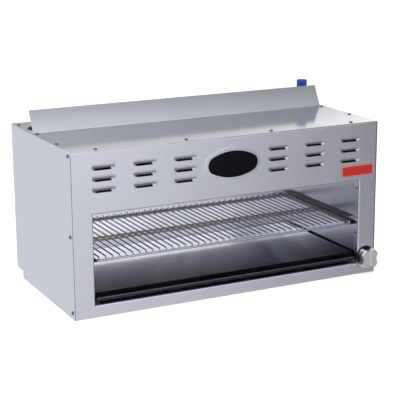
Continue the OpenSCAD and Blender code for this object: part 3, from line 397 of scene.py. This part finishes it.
def close(tree, shape, finish):
    """Ends a tree: instances made real, and one finish for the whole."""
    real = add(tree, "GeometryNodeRealizeInstances", {0: shape}).outputs[0]
    done = add(tree, "GeometryNodeSetMaterial", {"Geometry": real, "Material": finish}).outputs[0]
    add(tree, "NodeGroupOutput", {"Mesh": done})


def grow(name, tree, finish, places, facing=None, share=None):
    """Runs a tree on a cloud of points and keeps the result as one plain mesh.

    facing and share say, for each point, which way its shape stands and how large it is.
    """
    cloud = bpy.data.meshes.new(name + "_places")
    cloud.from_pydata(places, [], [])
    if facing:
        cloud.attributes.new("facing", "FLOAT_VECTOR", "POINT").data.foreach_set("vector", sum(facing, ()))
    if share:
        cloud.attributes.new("share", "FLOAT", "POINT").data.foreach_set("value", share)
    holder = bpy.data.objects.new(name + "_places", cloud)
    scene.collection.objects.link(holder)
    steps = holder.modifiers.new("grow", "NODES")
    steps.node_group = tree
    steps[tree.interface.items_tree["Finish"].identifier] = finish
    bpy.context.view_layer.update()
    mesh = bpy.data.meshes.new_from_object(holder.evaluated_get(bpy.context.evaluated_depsgraph_get()))
    mesh.name = name
    bpy.data.objects.remove(holder)
    piece = bpy.data.objects.new(name, mesh)
    scene.collection.objects.link(piece)
    return piece


rack_finish = sheet_finish("rack_chrome", pale=(0.62, 0.62, 0.66), deep=(0.50, 0.50, 0.54),
                           lines=(60, 60, 60), rough=(0.10, 0.16), bump=0.02)
dress(rack_finish, "wire_rack")

rack_low, rack_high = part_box("wire_rack")
wire_gauge, rod_gauge, wire_count = 0.004, 0.006, 41
frame_drop, cross_apart, cross_shift, hook_in, weld_sink = 0.004, 0.0245, 0.0005, 0.0034, 0.0006
outer_wire = rack_high.x - rod_gauge - wire_gauge
under_wires = rack_high.z - wire_gauge
frame_top = under_wires - frame_drop
cross_y = (rack_low.y + rack_high.y) / 2 - cross_shift
nuggets = []
for wire in range(wire_count):
    x = -outer_wire + wire * 2 * outer_wire / (wire_count - 1)
    for y in (cross_y - cross_apart, cross_y):
        nuggets.append((x, y, under_wires))
    for y in (rack_low.y + hook_in, rack_high.y - hook_in):
        nuggets.append((x, y, frame_top - weld_sink))

beads, given = growing("weld_beads", [("Width", 0.0058), ("Height", 0.0022)])
ball = add(beads, "GeometryNodeMeshIcoSphere", {"Radius": 0.5, "Subdivisions": 2}).outputs[0]
bead = moved(beads, ball, Scale=vector(beads, X=given["Width"], Y=given["Width"], Z=given["Height"]))
close(beads, on_points(beads, given["Places"], bead), given["Finish"])
rack_welds = grow("rack_welds", beads, rack_finish, nuggets)
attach(rack_welds, "rack")


# ---------------------------------------------------------------------------
# Burners: aluminised steel boxes with four pressed ceramic tiles each, a folded
# frame and a woven screen of heat-darkened wire under the tiles.

burner_finish = sheet_finish("aluminised", pale=(0.46, 0.45, 0.44), deep=(0.34, 0.33, 0.32),
                             lines=(40, 40, 40), rough=(0.42, 0.55))
dress(heated(burner_finish, height=0.33, fade=0.06, amount=0.8), "left_burner_box", "right_burner_box",
      "left_tile_frame", "right_tile_frame", "left_venturi", "right_venturi", "pilot_burner")

# Ceramic: cream and chalky, pierced by rows of small ports; the ports' dark colour is painted shade
tile_finish, tree, shader = finish_of("ceramic_tile", 0.0)
ports_per_metre = 330.0
spot = add(tree, "ShaderNodeTexCoord").outputs["Object"]
from_port = add(tree, "ShaderNodeTexVoronoi", {"Vector": spot, "Scale": ports_per_metre, "Randomness": 0.0},
                voronoi_dimensions="2D").outputs["Distance"]
port = spread(tree, from_port, 1.0, 0.0, 0.24, 0.32)
chalk = add(tree, "ShaderNodeTexNoise", {"Vector": spot, "Scale": 60.0, "Detail": 5.0}).outputs[0]
cream = two_tone(tree, spread(tree, chalk, 0.0, 1.0, 0.35, 0.65),
                 (0.74, 0.66, 0.54, 1), (0.86, 0.80, 0.70, 1))
tree.links.new(two_tone(tree, port, cream, (0.10, 0.07, 0.05, 1)), shader.inputs["Base Color"])
tree.links.new(spread(tree, chalk, 0.82, 0.95), shader.inputs["Roughness"])
emboss(tree, shader, reckon(tree, "SUBTRACT", 1.0, port), 0.6, depth=0.0008)
dress(tile_finish, "left_burner_tiles", "right_burner_tiles")

# Screen: two layers of fine wires, pressed together where they cross
screen_finish = sheet_finish("screen_wire", pale=(0.34, 0.31, 0.30), deep=(0.17, 0.16, 0.17),
                             lines=(50, 50, 50), rough=(0.45, 0.6))
woven, given = growing("woven_screen", [("Length", 0.37), ("Width", 0.134), ("Pitch", 0.0052),
                                        ("Gauge", 0.0008)])
radius = reckon(woven, "MULTIPLY", given["Gauge"], 0.5)
lift, quarter_turn = 0.00035, math.pi / 2
weave = add(woven, "GeometryNodeJoinGeometry")
for length, width, turned, z in (("Length", "Width", 0.0, -lift), ("Width", "Length", quarter_turn, lift)):
    count = reckon(woven, "DIVIDE", given[width], given["Pitch"])
    first = vector(woven, Y=reckon(woven, "MULTIPLY", given[width], -0.5))
    row = add(woven, "GeometryNodeMeshLine", {"Count": count, "Start Location": first,
                                              "Offset": vector(woven, Y=given["Pitch"])},
              mode="OFFSET").outputs[0]
    rod = add(woven, "GeometryNodeMeshCylinder", {"Vertices": 6, "Radius": radius, "Depth": given[length]},
              fill_type="TRIANGLE_FAN").outputs[0]
    strand = moved(woven, rod, Translation=(0, 0, z), Rotation=(0, quarter_turn, 0))
    layer = moved(woven, on_points(woven, row, strand), Rotation=(0, 0, turned))
    woven.links.new(layer, weave.inputs[0])
close(woven, on_points(woven, given["Places"], weave.outputs[0]), given["Finish"])
centres = [tuple(sum(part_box(name), Vector()) / 2) for name in ("left_burner_screen", "right_burner_screen")]
burner_screens = grow("burner_screens", woven, screen_finish, centres)
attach(burner_screens, "root")
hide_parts("left_burner_screen", "right_burner_screen")


# ---------------------------------------------------------------------------
# Gas line: lacquered black steel pipe and elbows screwed together, a brass valve
# and jets turned from bar, and a soft aluminium tube to the pilot.

def coated_finish(name, pale, deep, rough, bump, gloss=0.5, grade=90.0):
    """Paint, lacquer or moulded plastic: a fine skin of the given grade, and edges made lighter by wear and a
    painted highlight.
    """
    wear_and_highlight_gain, wear_and_highlight_lift, brightest, wear_and_highlight_share = 1.5, 0.004, 0.9, 0.6
    finish, tree, shader = finish_of(name, 0.0, gloss=gloss)
    marks = add(tree, "ShaderNodeGroup", {"Lines": (grade, grade, grade)}, node_tree=grain).outputs
    worn_and_highlight = add(tree, "ShaderNodeGroup", {"Reach": 0.0012}, node_tree=wear_and_highlight).outputs["Worn_and_highlight"]
    base = two_tone(tree, spread(tree, marks["Grain"], 0.0, 1.0, 0.35, 0.65), deep + (1,), pale + (1,))
    bright = tuple(min(brightest, part * wear_and_highlight_gain + wear_and_highlight_lift) for part in pale) + (1,)
    rubbed_and_highlight = reckon(tree, "MULTIPLY", worn_and_highlight, wear_and_highlight_share)
    tree.links.new(two_tone(tree, rubbed_and_highlight, base, bright), shader.inputs["Base Color"])
    tree.links.new(spread(tree, marks["Cloud"], rough[0], rough[1], 0.35, 0.65), shader.inputs["Roughness"])
    emboss(tree, shader, marks["Grain"], bump)
    return finish


pipe_finish = coated_finish("black_pipe", pale=(0.10, 0.10, 0.105), deep=(0.06, 0.06, 0.065),
                            rough=(0.38, 0.5), bump=0.2)
dress(pipe_finish, "gas_manifold", "manifold_plug", "manifold_elbow", "riser_pipe", "supply_pipe",
      "supply_elbow", "inlet_pipe")
brass_finish = sheet_finish("valve_brass", pale=(0.78, 0.60, 0.31), deep=(0.64, 0.47, 0.22),
                            lines=(200, 200, 200), rough=(0.25, 0.35))
dress(brass_finish, "left_orifice", "right_orifice", "gas_valve", "valve_stem", "pilot_valve")
tube_finish = sheet_finish("pilot_tube", pale=(0.74, 0.74, 0.76), deep=(0.62, 0.62, 0.65),
                           lines=(200, 200, 40), rough=(0.3, 0.4))
dress(tube_finish, "pilot_tube")


# ---------------------------------------------------------------------------
# Knob and bezel: a die-cast knob with a satin plated face, pushed on the valve
# stem, over a moulded black bezel that is glued to the front sheet. The plug in
# the lid's spare pipe hole is the same plastic.

knob_finish = sheet_finish("knob_metal", pale=(0.95, 0.90, 0.90), deep=(0.88, 0.84, 0.84),
                           lines=(500, 500, 500), rough=(0.34, 0.42))
dress(knob_finish, "knob")
black_finish = coated_finish("black_plastic", pale=(0.010, 0.010, 0.012), deep=(0.006, 0.006, 0.008),
                             rough=(0.4, 0.5), bump=0.1, gloss=0.12, grade=300.0)
dress(black_finish, "knob_bezel", "inlet_hole_plug")


# ---------------------------------------------------------------------------
# Blue cap: soft moulded plastic, pushed over the end of the inlet pipe to keep
# it clean until the gas line is joined.

cap_finish = coated_finish("cap_blue", pale=(0.006, 0.075, 0.36), deep=(0.004, 0.06, 0.31),
                           rough=(0.35, 0.45), bump=0.1, gloss=0.4, grade=300.0)
dress(cap_finish, "inlet_cap")


# ---------------------------------------------------------------------------
# Badge and plate: a stamped bright rim round a gloss black field, and a thin
# enamelled plate with a pale line inside its edge. Both are glued on.

rim_finish = sheet_finish("badge_rim", pale=(0.80, 0.82, 0.92), deep=(0.72, 0.74, 0.84),
                          lines=(300, 300, 300), rough=(0.10, 0.16))
dress(rim_finish, "badge_rim_ring")
field_finish = coated_finish("badge_field", pale=(0.005, 0.005, 0.007), deep=(0.003, 0.003, 0.005),
                             rough=(0.14, 0.22), bump=0.02, gloss=0.07)
dress(field_finish, "badge_insert")

plate_finish, tree, shader = finish_of("plate_red", 0.0, gloss=0.2)
line_starts, line_ends = (0.0013, 0.0015), (0.0019, 0.0021)
plate_low, plate_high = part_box("model_plate")
half = (plate_high - plate_low) / 2
spot = add(tree, "ShaderNodeTexCoord").outputs["Object"]
from_middle = add(tree, "ShaderNodeVectorMath", {0: spot, 1: tuple((plate_low + plate_high) / 2)},
                  operation="SUBTRACT").outputs[0]
off_middle = add(tree, "ShaderNodeVectorMath", {0: from_middle}, operation="ABSOLUTE").outputs[0]
apart = add(tree, "ShaderNodeSeparateXYZ", {0: off_middle}).outputs
inset = reckon(tree, "MINIMUM", reckon(tree, "SUBTRACT", half.x, apart["X"]),
               reckon(tree, "SUBTRACT", half.z, apart["Z"]))
line = reckon(tree, "MULTIPLY", spread(tree, inset, 0.0, 1.0, *line_starts),
              spread(tree, inset, 1.0, 0.0, *line_ends))
mottle = add(tree, "ShaderNodeTexNoise", {"Vector": spot, "Scale": 120.0, "Detail": 3.0}).outputs[0]
red = two_tone(tree, mottle, (0.42, 0.018, 0.015, 1), (0.47, 0.023, 0.020, 1))
tree.links.new(two_tone(tree, line, red, (0.80, 0.62, 0.60, 1)), shader.inputs["Base Color"])
tree.links.new(spread(tree, mottle, 0.30, 0.42), shader.inputs["Roughness"])
emboss(tree, shader, line, 0.2)
dress(plate_finish, "model_plate")


# ---------------------------------------------------------------------------
# Sheet screws: plated pan heads with a cross recess, 4.8 mm in the cabinet and
# smaller ones in the liners. Hexagon nuts for legs are welded to the bottom.

# The heads and nuts are given a dark tone for the dark surroundings they mirror: painted shade
screw_finish = sheet_finish("screw_steel", pale=(0.19, 0.19, 0.21), deep=(0.12, 0.12, 0.14),
                            lines=(400, 400, 400), rough=(0.28, 0.4))
dress(screw_finish, "leg_nuts")

pan, given = growing("pan_head_screws", [("Head", 0.0110), ("Rise", 0.0030), ("Shank", 0.0048),
                                         ("Reach", 0.0095), ("Recess", 0.0058)])

# Head: a ball made flat below its middle and squashed to its rise above
radius = reckon(pan, "MULTIPLY", given["Head"], 0.5)
ball = add(pan, "GeometryNodeMeshUVSphere", {"Segments": 28, "Rings": 14, "Radius": radius}).outputs[0]
apart = add(pan, "ShaderNodeSeparateXYZ", {0: add(pan, "GeometryNodeInputPosition").outputs[0]}).outputs
upper = reckon(pan, "MAXIMUM", apart["Z"], 0.0)
height = reckon(pan, "MULTIPLY", upper, reckon(pan, "DIVIDE", given["Rise"], radius))
domed = vector(pan, X=apart["X"], Y=apart["Y"], Z=height)
head = add(pan, "GeometryNodeSetPosition", {"Geometry": ball, "Position": domed}).outputs[0]

# Recess: two crossed bars cut out of the head
slot_wide = reckon(pan, "MULTIPLY", given["Recess"], 0.26)
bar_high = reckon(pan, "MULTIPLY", given["Rise"], 1.4)
lifted = vector(pan, Z=reckon(pan, "MULTIPLY", given["Rise"], 1.15))
cut = add(pan, "GeometryNodeMeshBoolean", {"Mesh 1": head}, operation="DIFFERENCE", solver="EXACT")
for long_way, short_way in (("X", "Y"), ("Y", "X")):
    bar = vector(pan, **{long_way: given["Recess"], short_way: slot_wide, "Z": bar_high})
    block = add(pan, "GeometryNodeMeshCube", {"Size": bar}).outputs[0]
    pan.links.new(moved(pan, block, Translation=lifted), cut.inputs["Mesh 2"])

# Shank, sunk in the sheet below the head
thin = reckon(pan, "MULTIPLY", given["Shank"], 0.5)
rod = add(pan, "GeometryNodeMeshCylinder", {"Vertices": 16, "Radius": thin, "Depth": given["Reach"]},
          fill_type="TRIANGLE_FAN").outputs[0]
shank = moved(pan, rod, Translation=vector(pan, Z=reckon(pan, "MULTIPLY", given["Reach"], -0.48)))
screw = add(pan, "GeometryNodeJoinGeometry", {0: cut.outputs[0]})
pan.links.new(shank, screw.inputs[0])
outward = add(pan, "GeometryNodeInputNamedAttribute", {"Name": "facing"}, data_type="FLOAT_VECTOR").outputs[0]
size = add(pan, "GeometryNodeInputNamedAttribute", {"Name": "share"}, data_type="FLOAT").outputs[0]
stood = add(pan, "FunctionNodeAlignRotationToVector", {"Vector": outward}, axis="Z").outputs[0]
driven = on_points(pan, given["Places"], screw.outputs[0], Rotation=stood, Scale=size)
close(pan, driven, given["Finish"])

lid_low, lid_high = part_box("top_panel")
lid_front_in, lid_side_in, lid_back_in = 0.019, 0.012, 0.032
lid_front_pitch, lid_side_pitch = 0.254, 0.150
head_radius, foot_thick = 0.0055, 0.0012
foot_x, foot_y = (0.140, 0.4002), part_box("deflector_screws")[0].y + head_radius
skin_in, skin_z = 0.015, (0.017, lid_high.z / 2, lid_high.z - 0.010)
liner_x, liner_in, liner_z, liner_share = 0.400, 0.011, (0.120, 0.2502), 0.65

# Each screw: where its head sits, which way it faces and its size against the full one
driven_in = []
for step in (-1.5, -0.5, 0.5, 1.5):
    driven_in.append(((step * lid_front_pitch, lid_low.y + lid_front_in, lid_high.z), (0, 0, 1), 1.0))
for side in (-1, 1):
    for step in range(3):
        y = lid_high.y - lid_back_in - step * lid_side_pitch
        driven_in.append(((side * (lid_high.x - lid_side_in), y, lid_high.z), (0, 0, 1), 1.0))
    for x in foot_x:
        driven_in.append(((side * x, foot_y, lid_high.z + foot_thick), (0, 0, 1), 1.0))
for side in (-1, 1):
    for z in skin_z:
        driven_in.append(((side * lid_high.x, lid_low.y + skin_in, z), (side, 0, 0), 1.0))
for side in (-1, 1):
    for z in liner_z:
        driven_in.append(((side * liner_x, lid_low.y + liner_in, z), (-side, 0, 0), liner_share))
places, ways, shares = zip(*driven_in)
sheet_screws = grow("sheet_screws", pan, screw_finish, places, ways, shares)
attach(sheet_screws, "root")
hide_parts("lid_screws", "deflector_screws", "skin_screws", "liner_screws")
